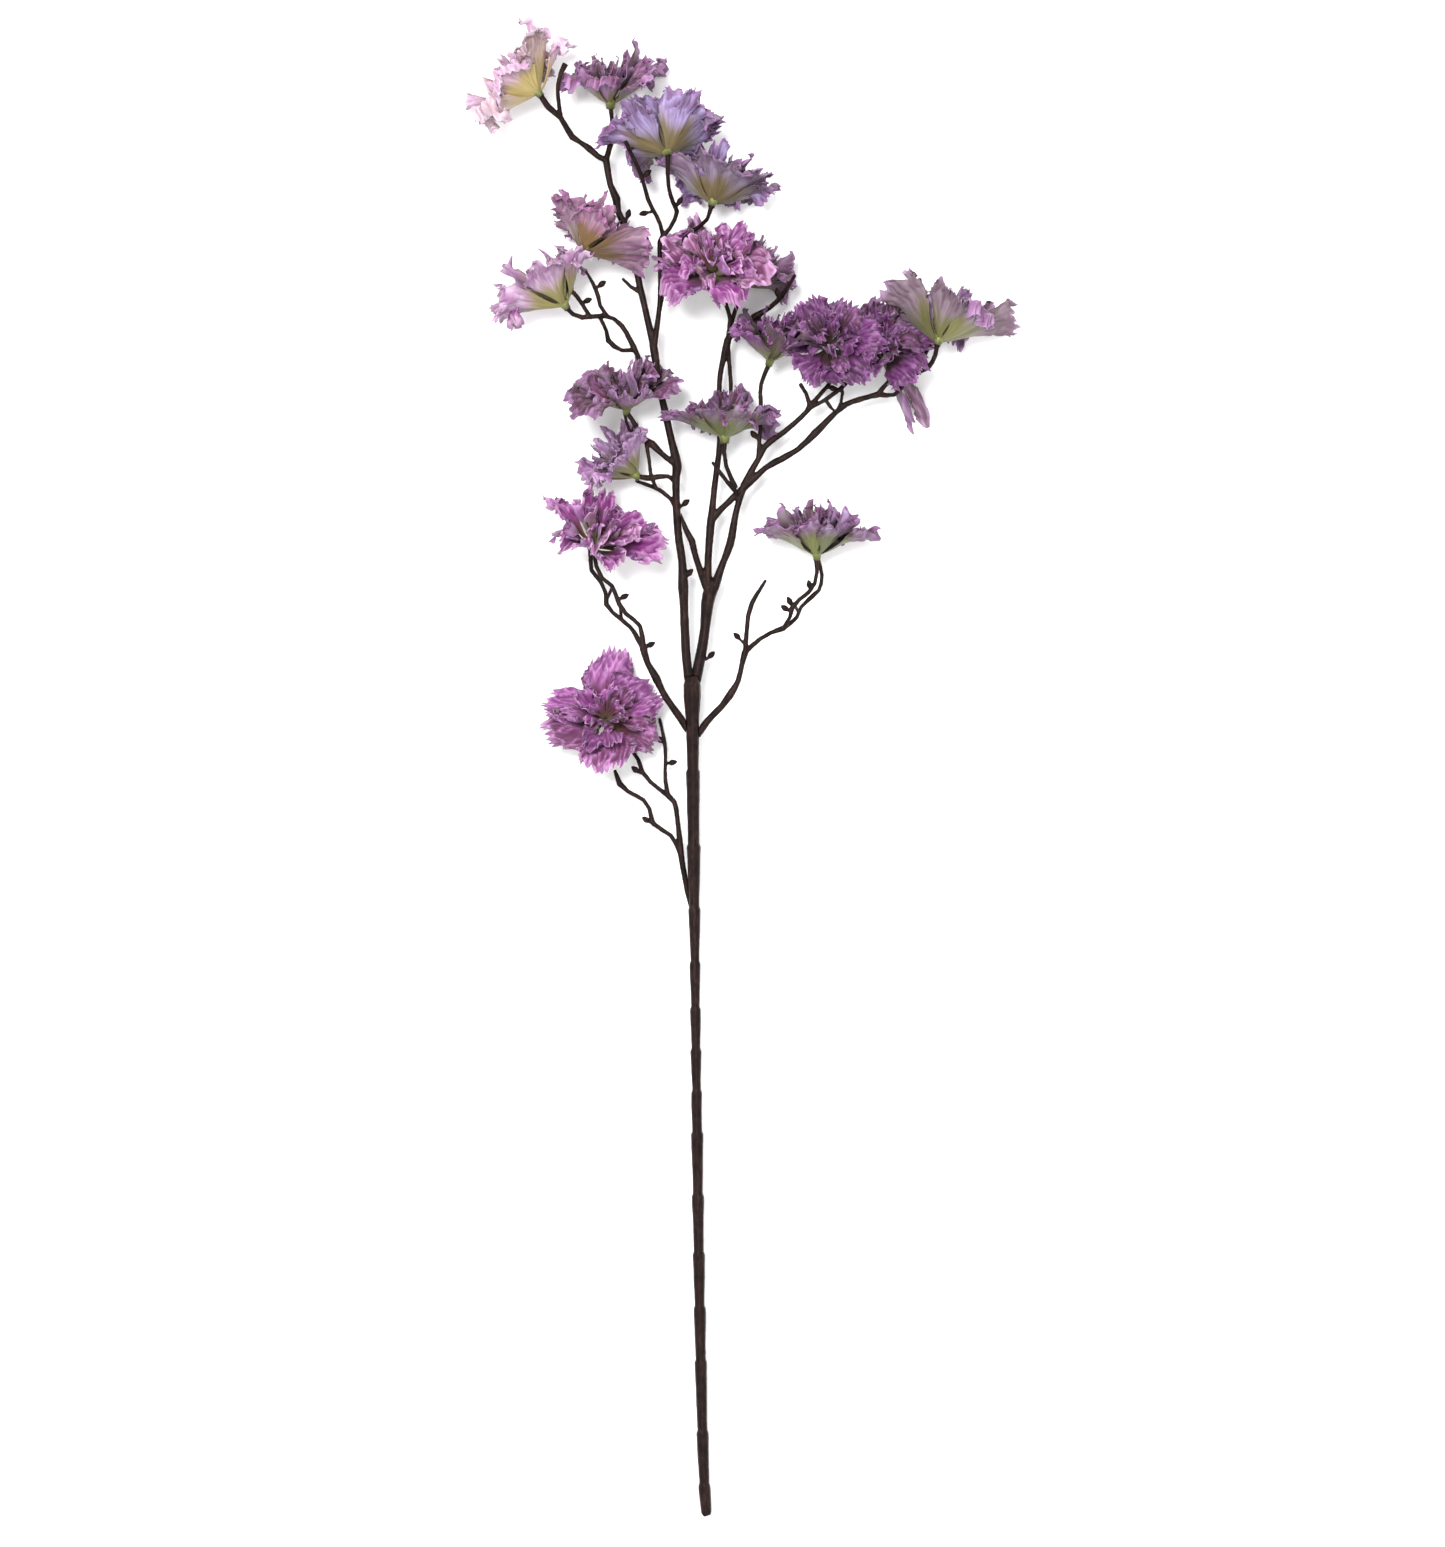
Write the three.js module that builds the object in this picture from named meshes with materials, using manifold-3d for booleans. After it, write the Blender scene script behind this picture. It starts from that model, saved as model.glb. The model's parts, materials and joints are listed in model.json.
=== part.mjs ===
// A long flowering spray, cut and laid down: one jointed stem, five sprigs of forked twigs with small
// buds, and eighteen fringed carnation-like blossoms. Millimetres, +Z up, the stem along +Y.
import * as THREE from "three";
import { mergeVertices } from "three/addons/utils/BufferGeometryUtils.js";
import Module from "manifold-3d";

const wasm = await Module();
wasm.setup();

// ---- Driving sizes ----
const STEM_LENGTH = 418; // cut end to the main fork
const STEM_LEAN = 7.5; // how far the stem drifts sideways over that length
const FORK_HEIGHT = 17.5; // height of the main fork above the surface, with the head propped on its petals
const STEM_RADIUS = 2.75; // bare lower stem
const STEM_SHOULDER = 0.45; // how much each internode widens below its joint
const STEM_NECK = 0.2; // how much the next internode starts thinner, above the joint
const JOINT_LIP = 1.2; // length of the step at a joint
const CUT_BEVEL = 1.5; // rounding of the cut end
const CUT_SHARE = 0.8;
const WAIST = { from: 0.5, to: 0.7, share: 0.88 }; // the stem's slimmer stretch
const CROWN = { from: 0.8, neck: 0.96, top: 0.985, share: 1.15, neckShare: 1.3 }; // its thicker top
const FORK_DOME = 4; // how far the rounded top stands above the main fork
const FORK_DOME_SHARE = 0.7;
const FORK_RADIUS = 4.4; // swollen top of the stem
const JOINTS = [0.036, 0.1, 0.185, 0.25, 0.315, 0.385, 0.46, 0.51, 0.56, 0.61, 0.665, 0.73, 0.805, 0.895];
const HEAD_LENGTH = 333; // main fork to the tips
const HEAD_DRAWN = 333; // the head length that the sprig routes below are given for
const GAP = 0.3; // clearance between any two pieces
const PLUG = 1.6; // how far a stalk stands inside its calyx

const CALYX_LENGTH = 4.2;
const CALYX_FOOT = 1.9;
const CALYX_MOUTH = 3.1;
const PETAL_COUNT = 5;
const PETAL_THICKNESS = 1.3;
const RUFFLE = 2.2; // rise and fall of a petal's edge
const PETAL_NOTCH = 0.24; // depth of the gap between two petals, as a share of the blossom's radius
const INNER_SHARE = 0.52; // reach of the inner petals across the blossom
const INNER_RISE = 4.5; // how far the inner petals stand above the outer ones' throat

const BUD_LENGTH = 6.6;
const BUD_RADIUS = 1.75;
const BUD_STALK_SHARE = 0.42; // thickness of a bud's stalk beside the bud

const STEP = 5; // longest distance between two sections of a twig
const TWIG_SIDES = 5;
const LIMB_SIDES = 7;
const CALYX_SIDES = 6;
const STOUT = 1.9; // a twig at least this thick gets the finer section

// ---- Materials ----
const finish = (color, roughness) => new THREE.MeshStandardMaterial({ color, roughness, metalness: 0 });
const BARK = finish("#3a2b27", 0.55);
const GREEN = finish("#8b9148", 0.6);
const TINTS = {
  pale: finish("#dcc0dc", 0.75),
  orchid: finish("#b067b8", 0.75),
  mauve: finish("#a178a6", 0.75),
  plum: finish("#8c4f8e", 0.75),
  violet: finish("#7a468c", 0.75),
};

// ---- Routes ----
// Points are x, y, z and the radius there. They are measured from the main fork, y towards the tips.
// A twig may carry a blossom (bears) at its last point, and buds as pairs of foot and tip.
const blossom = (place, tint, face, radius, height, deep, turn) => ({
  place, tint, face, radius, height, deep, turn,
});

const LOWER_LEFT_SPRIG = [
  { route: [[0, -112, -6.7, 1.7], [-2.5, -103, -6, 1.7], [-4, -95, -5, 1.6], [-5.5, -86, -4, 1.8],
    [-7.5, -67, -4, 1.4], [-9, -59, -5, 1.4], [-12, -56, -6, 1.6]] },
  { route: [[-12, -56, -6, 1.4], [-13.5, -48, -6, 1.1], [-13.5, -32, -9, 1.1], [-16.5, -17, -14, 0.9]],
    buds: [[[-13.5, -30, -9], [-18, -26.5, -9]], [[-13.5, -40, -7.5], [-8.5, -39, -7]]] },
  { route: [[-12, -56, -6, 1.4], [-16, -53, -8, 1.2], [-21, -49, -9, 1.2], [-25, -44, -10, 1.3],
    [-27, -38, -12, 1.2], [-33, -30, -14, 1.2], [-40, -22.5, -15, 1.2], [-43.5, -18, -11.5, 1.3]],
    bears: blossom("lower_left", "orchid", [0.05, 0.3, 0.95], 30, 9, 0.9, 0.2),
    buds: [[[-25.5, -45, -9.5], [-29, -42.5, -9]]] },
  { route: [[-5.5, -86, -4, 1.5], [-10.5, -76, -5, 1.2], [-19.5, -70, -8, 1.4], [-21.5, -62.5, -10, 1.2],
    [-24.5, -58, -11, 1.2], [-32, -54, -12, 1.2], [-36.5, -50, -12.5, 1.7], [-39, -43, -13, 0.9]],
    buds: [[[-20, -70, -8], [-24, -67.5, -7.5]]] },
];

const LEFT_BRANCH = [
  { route: [[0.5, -27, -1.5, 2.2], [-5.5, -17.5, 0, 2], [-10.5, -10.5, 2, 1.8], [-15, -3.5, 3, 1.7],
    [-18, 3, 4, 2.2], [-22, 10, 4, 1.6], [-24.5, 18, 5, 2]], buds: [[[-24, 18, 5], [-19, 20.5, 5.5]]] },
  { route: [[-24.5, 18, 5, 1.6], [-26, 29, 5, 1.2], [-33, 35, 4, 1.3], [-36.5, 40, 3, 1.3],
    [-40, 49, 2, 1.2], [-45, 53, 1, 1.2], [-48, 59, 0, 1.2], [-49, 68, 0, 1.3]],
    bears: blossom("left_low", "orchid", [0.3, 0.74, 0.58], 31, 12, 0.86, 0.6),
    buds: [[[-37, 42, 3], [-31.5, 45, 4]]] },
  { route: [[-24.5, 18, 5, 1.6], [-31, 28.5, 0, 1.2], [-40, 36, -3, 1.2], [-43, 40, -3, 1.5],
    [-43.5, 46, -4, 1.2], [-46, 51.5, -4, 1.2], [-50.5, 57, -4, 1.3], [-51, 67, -3, 1.3], [-53.5, 74, -2, 1]] },
  { route: [[-42.5, 43, -3, 1], [-40, 48.5, 1.5, 1]] },
  { route: [[-36, 39.5, 3, 1], [-35.5, 32.5, -1.5, 1]] },
];

const RIGHT_BRANCH = [
  { route: [[-0.5, -29, -1.7, 2.2], [5, -22, -1, 2], [10, -16, 0, 1.8], [15, -11, 1, 1.7], [19, -5.5, 2, 2.1],
    [23, 1.5, 2, 1.5], [25, 10, 2, 1.5], [26.5, 16, 2, 1.9]] },
  { route: [[26.5, 16, 2, 1.5], [27.5, 28, 4, 1.2], [28, 34, 4, 1.2], [30, 40.5, 4, 1.4], [37, 52, 4, 0.9]],
    buds: [[[27, 19, 3], [20.5, 26, 4]]] },
  { route: [[26.5, 16, 2, 1.5], [34, 22.5, 0, 1.2], [39, 25.5, -1, 1.3], [46, 28, -2, 1.6]] },
  { route: [[46, 28, -2, 1.3], [49, 33.5, 1, 1.1], [50, 38, 2, 1.4], [53.5, 42, 2, 1.1], [58.5, 46, 1, 1.3],
    [61.5, 50.5, 0, 1.1], [62.5, 56, 0, 1.2], [62, 63.5, 0, 1.4]],
    bears: blossom("right_low", "plum", [-0.02, 0.98, 0.14], 31, 13, 0.7, 0.1),
    buds: [[[59.5, 46, 1], [58, 52.5, 2]], [[50.5, 38, 2], [47.5, 44, 3]], [[49.5, 36, 2], [45.5, 38.5, 3]]] },
  { route: [[46, 28, -2, 1.3], [52.5, 33.5, -4, 1.1], [54.5, 38.5, -4, 1.1], [58.5, 42.5, -4, 1.3],
    [63.5, 47, -4, 1.2], [65, 54.5, -4, 1.1], [63, 63, -1, 1.1]] },
  { route: [[51, 40, 2, 0.9], [53.5, 35.5, -4, 0.9]] },
];

const LEFT_LEADER = [
  { route: [[-1.5, 1, 0, 2.6], [-3, 14.5, 0, 2.4], [-4, 38, 1, 2.2], [-4.5, 48, 2, 2.8], [-5, 61.5, 2, 2.1],
    [-6.5, 71.5, 2, 2.1], [-8, 92, 2, 2], [-8, 104, 2, 2.1], [-7.5, 108.5, 2, 2.5], [-11.5, 127, 2, 1.9],
    [-16, 148, 2, 1.8], [-19.5, 170, 2, 2.2]],
    buds: [[[-6.5, 88, 2], [-1, 92.5, 3]], [[-4, 53, 2], [-1.5, 55.5, 2]]] },
  { route: [[-8, 101, 2, 1.5], [-12, 104, 1, 1.2], [-22, 103, 0, 1.6], [-27.5, 104, -1, 1.3]],
    bears: blossom("left_small", "mauve", [-0.72, 0.66, 0.2], 22, 15, 0.85, 0.9) },
  { route: [[-8, 88, 2, 1.3], [-11, 93, 1, 1.1], [-16, 97, 0, 1.2], [-23, 100, -2, 1.2], [-28.5, 102, -3.5, 0.9]] },
  { route: [[-8.5, 110, 2, 1.6], [-15, 115, 3, 1.4], [-20, 120, 3, 2], [-26, 124, 2, 1.2], [-28, 129, 1, 1.3],
    [-30.5, 133, 0, 1.2], [-33, 136.5, 0, 1.3]],
    bears: blossom("left_mid", "mauve", [-0.15, 0.9, 0.34], 31, 12, 0.8, 0.4) },
  { route: [[-23, 121, 3, 1.1], [-21.5, 112, 2, 1], [-20.5, 104, 1, 1], [-18, 98, -0.5, 1]] },
  { route: [[-26, 124, 2, 1.1], [-31.5, 127, 0, 0.9], [-34, 137, -3, 0.8]] },
  { route: [[-16, 145, 2, 1.5], [-20, 148, 3, 1.2], [-23, 151, 3, 1.3], [-25.5, 160.5, 3, 1.2],
    [-29, 168, 3, 1.6], [-35, 179, 4, 1.3], [-39, 182.5, 5, 1.2], [-44, 184, 6, 1.4], [-55, 183, 8, 1.3],
    [-59.5, 184.5, 9, 1.2], [-63, 188, 11, 1.4]],
    bears: blossom("left_outer", "pale", [-0.6, 0.76, -0.1], 32, 15, 0.84, 0.5) },
  { route: [[-29, 167, 3, 1.3], [-35, 167, 0, 1.1], [-42, 172, -1, 1.6], [-43, 177, 1, 1.1], [-46, 183, 6, 1.1]] },
  { route: [[-42.5, 184, 5.5, 1.2], [-46, 189, 7, 1.1], [-47, 194, 8, 1.2], [-49.5, 200, 9, 1.1], [-53, 206, 10, 0.8]],
    buds: [[[-48, 197.5, 8.5], [-43, 201, 9]]] },
  { route: [[-51, 183.5, 7.5, 1.2], [-54.5, 189, 9, 1.1], [-58, 194, 10, 1.3], [-62, 198, 11, 1.1],
    [-64, 204, 12, 1.1], [-61.5, 209, 13, 1.2], [-58, 212.5, 14, 1.2], [-55, 215, 15, 1.3]],
    bears: blossom("left_upper", "mauve", [0.6, 0.7, -0.38], 31, 14, 0.8, 0.25),
    buds: [[[-55.5, 190, 9], [-50.5, 192, 10]]] },
  { route: [[-19.5, 170, 2, 1.9], [-24, 190, 2, 1.7], [-26, 198.5, 2, 1.8], [-30, 217.5, 2, 1.6],
    [-33.5, 229, 2, 1.8], [-37, 236.5, 2, 1.7], [-38, 243, 2, 2.2], [-41, 250, 2, 1.6], [-43, 262, 2, 1.9]],
    buds: [[[-33.5, 230, 2], [-31, 238, 3]]] },
  { route: [[-26, 196, 2, 1.3], [-31, 199, 2, 1], [-35, 203, 2, 0.8]] },
  { route: [[-43, 262, 2, 1.6], [-47, 264, 2, 1.5], [-51.5, 268, 2, 1.9], [-56, 271, 3, 1.3], [-60, 273.5, 4, 1.7],
    [-65.5, 282.5, 8, 1.4], [-72, 288, 11, 1.7], [-76, 294, 13, 1.4]],
    bears: blossom("top_outer", "pale", [-0.68, 0.7, -0.2], 35, 14, 0.74, 0.7) },
  { route: [[-65.5, 282.5, 8, 1.3], [-66.5, 290.5, 11, 1.2], [-67, 298, 13, 1.1], [-65.5, 304, 14, 1.2],
    [-63, 309, 15, 1.7]] },
  { route: [[-43, 262, 2, 1.6], [-41.5, 268, 1, 1.5], [-40, 273, 0, 1.8], [-40, 281, -2, 1.2], [-41, 290, -4, 1.3]],
    bears: blossom("top_back", "mauve", [0.02, 0.97, 0.2], 28, 14, 0.66, 0.35) },
  { route: [[-19, 169, 2.5, 1.7], [-16.5, 186.5, 4, 1.4], [-16, 197, 4, 1.3], [-16, 211, 3, 1.3],
    [-16, 221.5, 3, 1.4], [-14.5, 224, 3, 1.6]] },
  { route: [[-14.5, 224, 3, 1.3], [-16, 230, 5, 1.1], [-22, 242, 9, 1.2], [-24, 249, 12, 1.1], [-26, 255, 16, 1.2],
    [-29.5, 262, 22, 1.1], [-33, 269, 28, 1.3]],
    buds: [[[-19, 236, 7], [-27, 234.5, 7]], [[-25, 252, 14], [-21.5, 255, 14]]] },
  { route: [[-14.5, 224, 3, 1.3], [-11, 228, 4, 1.1], [-7.5, 236, 7, 1.3], [-9.5, 240.5, 10, 1.3], [-11.5, 247, 14, 1.1],
    [-12, 256, 19, 1.2], [-12, 263.5, 22, 1.4]],
    bears: blossom("top_front", "mauve", [-0.16, 0.74, -0.62], 33, 15, 0.84, 0.15),
    buds: [[[-8, 238, 8], [-5.5, 242, 8.5]]] },
  { route: [[-16.5, 186, 4, 1.3], [-13, 201.5, 3, 1.2], [-8, 212, 2, 1.2], [-4, 223, 1, 1.2], [4, 229, 4, 1.2],
    [7.5, 232, 7, 1.2], [10, 239.5, 10, 1.4]],
    bears: blossom("top_right", "mauve", [0.2, 0.88, -0.4], 34, 13, 0.72, 0.55) },
];

const CENTRE_LEADER = [
  { route: [[1.5, 1, -1, 2.9], [5, 18, -1, 2.8], [6.5, 28, -1, 2.6], [8.5, 45, -1, 3.7], [11, 49, -1, 2.6]],
    buds: [[[7, 12, -1], [10, 15, -1]]] },
  { route: [[8, 46, -1, 2.2], [8, 61.5, 0, 1.9], [9.5, 82, 0, 2.2], [10.5, 92, 0, 1.6], [12, 105, -1, 1.6],
    [14, 122, -4, 1.6], [13.5, 142, -5, 1.4], [14, 154.5, -4, 1.4], [18, 173, -2, 2]] },
  { route: [[7, 48, -1, 1.9], [1.5, 65, 1, 1.6], [0, 71.5, 2, 1.8], [-3, 77, 2, 1.5], [-7.5, 87, 2, 1.4]] },
  { route: [[13, 112, -2.5, 1.3], [17, 128, -7, 1.1], [19.5, 144.5, -8, 1.1], [19, 156, -6, 1.1], [18, 170, -2, 1.2]] },
  { route: [[18, 173, -2, 1.6], [19, 183, -3, 1.2], [15, 195, -3, 1.2], [12, 201, 0, 1.2], [11, 203.5, 5, 1.4]],
    bears: blossom("centre_face", "orchid", [-0.1, 0.74, 0.67], 32, 10, 0.92, 0.3) },
  { route: [[18.5, 176, -2, 1.4], [21.5, 187, -5, 1.1], [26.5, 200, -7, 1.3]],
    bears: blossom("centre_side", "violet", [0.6, 0.78, -0.12], 24, 13, 0.72, 0.8) },
  { route: [[18, 173, -2, 1.5], [25, 179, -1, 1.3], [31.5, 184, 0, 1.9], [38.5, 188, 2, 1.2], [45, 194, 6, 1.3],
    [51.5, 204, 12, 0.9]], buds: [[[43, 192, 5], [42.5, 197, 6]]] },
  { route: [[11, 48, -1, 2.4], [16, 62, 0, 1.8], [19, 70, 0, 2.2], [22.5, 88, 0, 1.6], [26, 99.5, 0, 1.9],
    [33, 112.5, 0, 1.5], [36, 118.5, 0, 1.7], [47, 127, 0, 1.4], [57, 136, 0, 1.4], [59, 139, 0, 1.7]] },
  { route: [[23, 95, 1, 1.4], [18, 100.5, 4, 1.2], [14.5, 105, 5, 1.2], [10, 111, 5, 0.9]] },
  { route: [[22, 98, 2, 1.3], [17, 109, 4, 1.2], [16, 116, 5, 1.2], [16.5, 122, 5, 1.4]],
    bears: blossom("centre_flat", "plum", [0, 0.98, 0.14], 31, 12, 0.7, 0.45) },
  { route: [[33, 113, 0, 1.3], [34, 125, 0, 1.1], [34.5, 137, -1, 1.2], [34.5, 150, 1, 1.1], [39, 161, 3, 1.4]],
    bears: blossom("cluster_left", "violet", [0.12, 0.9, 0.3], 28, 15, 0.74, 0.2),
    buds: [[[33.5, 122, 0], [29, 127, 1]]] },
  { route: [[59, 139, 0, 1.4], [57, 145.5, 0, 1.1], [54, 150.5, -1, 1.2]] },
  { route: [[59, 139, 0, 1.4], [64.5, 145.5, -1, 1.2], [69.5, 152, -3, 1.1], [70, 159, -4, 1.1], [68.5, 165, 0, 1.1],
    [68, 168, 5, 1.4]],
    bears: blossom("cluster_face", "violet", [0, 0.36, 0.93], 28, 9, 0.92, 0.65),
    buds: [[[67, 149, -2], [71.5, 148, -1]]] },
  { route: [[59, 138.5, 0, 1.4], [64.5, 141, 1, 1.1], [75, 148.5, 0, 1.3], [79, 153, -3, 1.1], [86, 158, -6, 1.1],
    [92, 163.5, -6, 1.1], [93.5, 166, -3, 1.3]],
    bears: blossom("cluster_right", "violet", [0.1, 0.6, 0.79], 27, 9, 0.86, 0.4) },
  { route: [[66.5, 142.5, 1, 1], [72, 136, 1.5, 1], [74.5, 141, 1, 1], [75.5, 147, 0, 1]] },
  { route: [[9.5, 82, 0, 2], [16, 89, 0, 1.6], [24.5, 97, 0, 1.9], [31.5, 103.5, 0, 1.8], [36.5, 108, 0, 1.5],
    [41.5, 111, 0, 1.9], [53, 117.5, 0, 1.5], [62, 126, 0, 2], [72, 136, 0, 1.5], [77, 140, 0, 1.5],
    [89, 144, -1, 1.4], [93, 145, -1, 1.7]] },
  { route: [[93, 145, -1, 1.4], [99.5, 152.5, 0, 1.2], [111.5, 159, 1, 1.3], [116, 164, 1, 1.2], [119.5, 170, 1, 1]],
    buds: [[[98, 151, 0], [98.5, 157.5, 1]]] },
  { route: [[93, 145, -1, 1.4], [101.5, 145, -2, 1.2], [106.5, 150.5, 2, 1.3], [112, 155, 5, 1.2],
    [118, 158, 8, 1.4], [121.5, 164, 11, 1.2], [122.5, 170, 13, 1.4]],
    bears: blossom("right_outer", "pale", [0.26, 0.88, -0.36], 31, 17, 0.78, 0.6) },
  { route: [[103.5, 154.5, 0.5, 0.9], [104, 148, -2, 0.9]] },
];

const SPRIGS = {
  left_leader: LEFT_LEADER,
  centre_leader: CENTRE_LEADER,
  left_branch: LEFT_BRANCH,
  right_branch: RIGHT_BRANCH,
  lower_left_sprig: LOWER_LEFT_SPRIG,
};

// ---- Solids ----
// A geometry with its seams and poles merged, before anything bends it.
function closed(geometry) {
  geometry.deleteAttribute("normal");
  geometry.deleteAttribute("uv");
  const merged = mergeVertices(geometry, 1e-4);
  const index = merged.index.array;
  const triangles = [];
  for (let i = 0; i < index.length; i += 3) {
    const [a, b, c] = index.slice(i, i + 3);
    if (a !== b && b !== c && c !== a) triangles.push(a, b, c);
  }
  merged.setIndex(triangles);
  return merged;
}

const solidOf = (geometry) => new wasm.Manifold(new wasm.Mesh({
  numProp: 3,
  vertProperties: new Float32Array(geometry.attributes.position.array),
  triVerts: new Uint32Array(geometry.index.array),
}));

const lathe = (profile, segments) =>
  closed(new THREE.LatheGeometry(profile.map(([r, h]) => new THREE.Vector2(r, h)), segments));

const largest = (solid) => solid.decompose().reduce((a, b) => (b.volume() > a.volume() ? b : a));

const joined = (solids) => solids.reduce((a, b) => a.add(b));

function meshOf(name, solid, material) {
  const { vertProperties, triVerts } = solid.getMesh();
  const geometry = new THREE.BufferGeometry();
  geometry.setAttribute("position", new THREE.BufferAttribute(vertProperties, 3));
  geometry.setIndex(new THREE.BufferAttribute(triVerts, 1));
  geometry.computeVertexNormals();
  const mesh = new THREE.Mesh(geometry, material);
  mesh.name = name;
  return mesh;
}

// ---- Stems and twigs ----
const headPoint = ([x, y, z]) => new THREE.Vector3(x, (y * HEAD_LENGTH) / HEAD_DRAWN, z);

// A round bar along a list of stations, each a centre and a radius, closed by a flat end at both ends.
function bar(stations, sides) {
  const rows = stations.length - 1;
  const geometry = closed(new THREE.CylinderGeometry(1, 1, 1, sides, rows));
  const tangents = stations.map((s, i) =>
    stations[Math.min(i + 1, rows)].centre.clone().sub(stations[Math.max(i - 1, 0)].centre).normalize());
  const across = [new THREE.Vector3(0, 0, 1).cross(tangents[0]).normalize()];
  for (let i = 1; i <= rows; i++) {
    const turn = new THREE.Quaternion().setFromUnitVectors(tangents[i - 1], tangents[i]);
    across.push(across[i - 1].clone().applyQuaternion(turn));
  }
  const position = geometry.attributes.position;
  for (let i = 0; i < position.count; i++) {
    const row = Math.round((0.5 - position.getY(i)) * rows);
    const up = tangents[row].clone().cross(across[row]);
    const point = stations[row].centre.clone()
      .addScaledVector(across[row], position.getX(i) * stations[row].radius)
      .addScaledVector(up, position.getZ(i) * stations[row].radius);
    position.setXYZ(i, point.x, point.y, point.z);
  }
  return solidOf(geometry);
}

// A twig along its route. Grow makes it thicker and longer all round, to cut its clearance elsewhere.
function twig(route, grow = 0) {
  const points = route.map(headPoint);
  const curve = new THREE.CatmullRomCurve3(points, false, "centripetal");
  const spans = points.length - 1;
  const stations = [];
  for (let i = 0; i < spans; i++) {
    const steps = Math.max(1, Math.round(points[i].distanceTo(points[i + 1]) / STEP));
    for (let k = 0; k < steps; k++) {
      const share = k / steps;
      const radius = THREE.MathUtils.lerp(route[i][3], route[i + 1][3], THREE.MathUtils.smoothstep(share, 0, 1));
      stations.push({ centre: curve.getPoint((i + share) / spans), radius: radius + grow });
    }
  }
  stations.push({ centre: points[spans].clone(), radius: route[spans][3] + grow });
  if (grow > 0) {
    const start = stations[0].centre.clone().sub(stations[1].centre).normalize();
    const end = curve.getTangent(1);
    stations[0].centre.addScaledVector(start, grow);
    stations[stations.length - 1].centre.addScaledVector(end, grow);
  }
  const stout = Math.max(...route.map((point) => point[3])) >= STOUT;
  return bar(stations, stout ? LIMB_SIDES : TWIG_SIDES);
}

// A pointed bud from its foot to beyond its tip.
function bud([foot, tip], grow = 0) {
  const from = headPoint(foot);
  const to = headPoint(tip);
  const along = to.clone().sub(from);
  const length = Math.max(BUD_LENGTH, along.length()) + grow;
  const stalk = length - BUD_LENGTH;
  const neck = BUD_STALK_SHARE * BUD_RADIUS;
  const profile = [[0, -grow], [neck + grow, -grow], [neck + grow, stalk + 0.22 * BUD_LENGTH],
    [0.85 * BUD_RADIUS + grow, stalk + 0.42 * BUD_LENGTH], [BUD_RADIUS + grow, stalk + 0.58 * BUD_LENGTH],
    [0.6 * BUD_RADIUS + grow, stalk + 0.82 * BUD_LENGTH], [0, length + grow]];
  const geometry = lathe(profile, TWIG_SIDES);
  const turn = new THREE.Quaternion().setFromUnitVectors(new THREE.Vector3(0, 1, 0), along.normalize());
  geometry.applyQuaternion(turn);
  geometry.translate(from.x, from.y, from.z);
  return solidOf(geometry);
}

const sprig = (twigs, grow = 0) => joined(twigs.flatMap(({ route, buds = [] }) =>
  [twig(route, grow), ...buds.map((pair) => bud(pair, grow))]));

// The main stem is a stack of internodes, each widening upwards to a shoulder and stepping in at its joint.
function stem(grow = 0) {
  const at = (share, radius) => ({
    centre: new THREE.Vector3(
      STEM_LEAN * (1 - Math.sqrt(share)),
      STEM_LENGTH * (share - 1),
      (FORK_HEIGHT - STEM_RADIUS) * (share - 1)),
    radius: radius + grow,
  });
  const stations = [at(0, CUT_SHARE * STEM_RADIUS), at(CUT_BEVEL / STEM_LENGTH, STEM_RADIUS)];
  const lip = JOINT_LIP / STEM_LENGTH;
  for (const joint of JOINTS) {
    const slim = joint > WAIST.from && joint < WAIST.to ? WAIST.share : 1;
    const thick = STEM_RADIUS * slim * (joint > CROWN.from ? CROWN.share : 1);
    stations.push(at(joint - lip, thick + STEM_SHOULDER));
    stations.push(at(joint, thick + STEM_SHOULDER));
    stations.push(at(joint + lip, thick - STEM_NECK));
  }
  stations.push(at(CROWN.neck, STEM_RADIUS * CROWN.neckShare));
  stations.push(at(CROWN.top, FORK_RADIUS));
  stations.push(at(1, FORK_RADIUS));
  stations.push(at(1 + FORK_DOME / STEM_LENGTH, FORK_DOME_SHARE * FORK_RADIUS));
  if (grow > 0) stations[0].centre.y -= grow;
  return bar(stations, LIMB_SIDES);
}

// ---- Blossoms ----
// Stands a lathe on a blossom's stalk: its axis faces the blossom's way, its second radius is the deep one.
function stand(geometry, bloom) {
  const axis = new THREE.Vector3(...bloom.face).normalize();
  const side = new THREE.Vector3().crossVectors(axis, new THREE.Vector3(0, 0, 1)).normalize();
  const deep = new THREE.Vector3().crossVectors(side, axis);
  geometry.applyMatrix4(new THREE.Matrix4().makeBasis(side, axis, deep));
  geometry.translate(bloom.foot.x, bloom.foot.y, bloom.foot.z);
  return solidOf(geometry);
}

function calyx(bloom, grow = 0) {
  const profile = [[0, -grow], [CALYX_FOOT + grow, -grow], [1.1 * CALYX_FOOT + grow, 0.25 * CALYX_LENGTH],
    [CALYX_MOUTH + grow, 0.75 * CALYX_LENGTH], [CALYX_MOUTH + grow, CALYX_LENGTH + grow],
    [0, CALYX_LENGTH + grow]];
  return stand(lathe(profile, CALYX_SIDES), bloom);
}

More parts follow.
